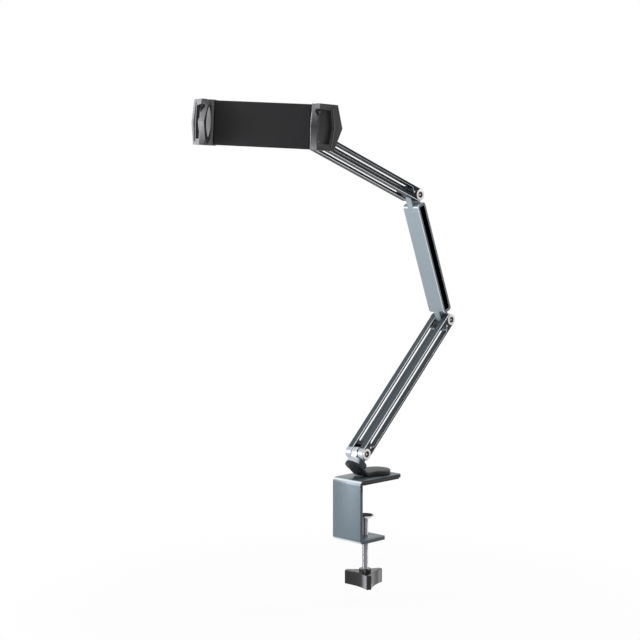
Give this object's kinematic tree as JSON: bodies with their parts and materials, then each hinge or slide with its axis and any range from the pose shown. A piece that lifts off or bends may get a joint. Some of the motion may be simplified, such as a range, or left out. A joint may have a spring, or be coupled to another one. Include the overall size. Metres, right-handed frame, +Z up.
{
  "type": "bed tablet holder",
  "caption": "Table-clamp tablet holder: hinged slotted metal arms on a swivel foot carry a ball-mounted plate with spring-loaded side jaws.",
  "frame": {"origin": "on the clamp screw's axis, in the plane where the clamp's upper pad rests on the table", "axes": "+Z up, +X along the clamp's width, +Y in over the table"},
  "size_m": [0.1575, 0.4031, 0.6093],
  "materials": {
    "arm": "fine satin anodised, blue grey",
    "clamp_metal": "satin anodised, blue grey",
    "foot_metal": "dark satin paint",
    "spacer_metal": "dark anodised",
    "head_metal": "bright turned silver",
    "steel": "plated steel",
    "chromed": "polished",
    "pad_rubber": "matte black",
    "nylon": "smooth black",
    "knob_plastic": "glossy black",
    "ring_plastic": "satin black",
    "shell_plastic": "satin black",
    "plate_plastic": "fine matte black",
    "jaw_plastic": "satin dark grey",
    "slide_plastic": "matte black",
    "jaw_rubber": "matte grey"
  },
  "bodies": {
    "clamp": {"clamp_bracket": "clamp_metal", "desk_pad": "pad_rubber", "swivel_washer": "nylon"},
    "pressure_foot": {"pressure_plate": "chromed", "pressure_pad": "pad_rubber"},
    "screw": {"clamp_screw": "steel", "screw_knob": "knob_plastic"},
    "swivel": {"swivel_foot": "foot_metal", "swivel_bolt": "steel", "pivot_head": "head_metal", "head_screw": "steel"},
    "lower": {"lower_arm_left_bar": "arm", "lower_arm_right_bar": "arm", "lower_arm_spacers": "spacer_metal", "lower_arm_pins": "steel", "base_pivot_bolt": "steel", "base_pivot_nut": "steel", "base_pivot_washers": "nylon", "middle_pivot_bolt": "steel", "middle_pivot_nut": "steel", "middle_pivot_washers": "nylon"},
    "middle": {"middle_arm": "arm"},
    "upper": {"upper_arm_left_bar": "arm", "upper_arm_right_bar": "arm", "upper_arm_spacers": "spacer_metal", "upper_arm_pins": "steel", "upper_pivot_bolt": "steel", "upper_pivot_nut": "steel", "upper_pivot_washers": "nylon", "end_pivot_bolt": "steel", "end_pivot_nut": "steel", "end_pivot_washers": "nylon"},
    "head": {"head_link": "arm"},
    "stud": {"ball_stud": "chromed"},
    "ring": {"socket_ring": "ring_plastic"},
    "holder": {"holder_shell": "shell_plastic", "front_plate": "plate_plastic", "socket_cup": "ring_plastic", "cup_screws": "steel"},
    "jaw_left": {"left_jaw": "jaw_plastic", "left_slide": "slide_plastic", "left_pad": "jaw_rubber"},
    "jaw_right": {"right_jaw": "jaw_plastic", "right_slide": "slide_plastic", "right_pad": "jaw_rubber"}
  },
  "joints": [
    {"name": "screw_feed", "type": "slide", "parent": "clamp", "child": "pressure_foot", "axis": [0, 0, 1], "range_m": [-0.019, 0.038]},
    {"name": "screw_turn", "type": "hinge", "parent": "pressure_foot", "child": "screw", "pos_m": [0, 0, -0.09], "axis": [0, 0, 1], "range_deg": [-5400, 10800]},
    {"name": "base_swivel", "type": "hinge", "parent": "clamp", "child": "swivel", "pos_m": [0, 0.02, 0.0073], "axis": [0, 0, 1], "range_deg": [-180, 180]},
    {"name": "base_tilt", "type": "hinge", "parent": "swivel", "child": "lower", "pos_m": [0, -0.01342, 0.03735], "axis": [1, 0, 0], "range_deg": [-40, 38]},
    {"name": "middle_fold", "type": "hinge", "parent": "lower", "child": "middle", "pos_m": [0, 0.14992, 0.19786], "axis": [1, 0, 0], "range_deg": [-66, 30]},
    {"name": "upper_fold", "type": "hinge", "parent": "middle", "child": "upper", "pos_m": [0, 0.0862, 0.36299], "axis": [1, 0, 0], "range_deg": [-48, 26]},
    {"name": "head_tilt", "type": "hinge", "parent": "upper", "child": "head", "pos_m": [0, -0.12885, 0.44169], "axis": [1, 0, 0], "range_deg": [-40, 38]},
    {"name": "ball_turn", "type": "hinge", "parent": "head", "child": "stud", "pos_m": [0, -0.16942, 0.44332], "axis": [0, -0.9992, 0.0401], "range_deg": [-180, 180]},
    {"name": "ball_tilt", "type": "hinge", "parent": "stud", "child": "ring", "pos_m": [0, -0.16942, 0.44332], "axis": [0.0624, 0.0401, 0.9972], "range_deg": [-68, 3]},
    {"name": "holder_spin", "type": "hinge", "parent": "ring", "child": "holder", "pos_m": [0, -0.16942, 0.44332], "axis": [0.5402, -0.8415, 0], "range_deg": [-180, 180]},
    {"name": "left_jaw_slide", "type": "slide", "parent": "holder", "child": "jaw_left", "axis": [-0.8404, -0.5395, 0.0523], "range_m": [0, 0.05], "stiffness_N_per_m": 150, "springref_m": -0.03},
    {"name": "right_jaw_slide", "type": "slide", "parent": "holder", "child": "jaw_right", "axis": [0.8404, 0.5395, -0.0523], "range_m": [0, 0.05], "stiffness_N_per_m": 150, "springref_m": -0.03}
  ],
  "couplings": [
    {"joint": "screw_feed", "follows": "screw_turn", "m_per_rad": 0.00019894}
  ]
}
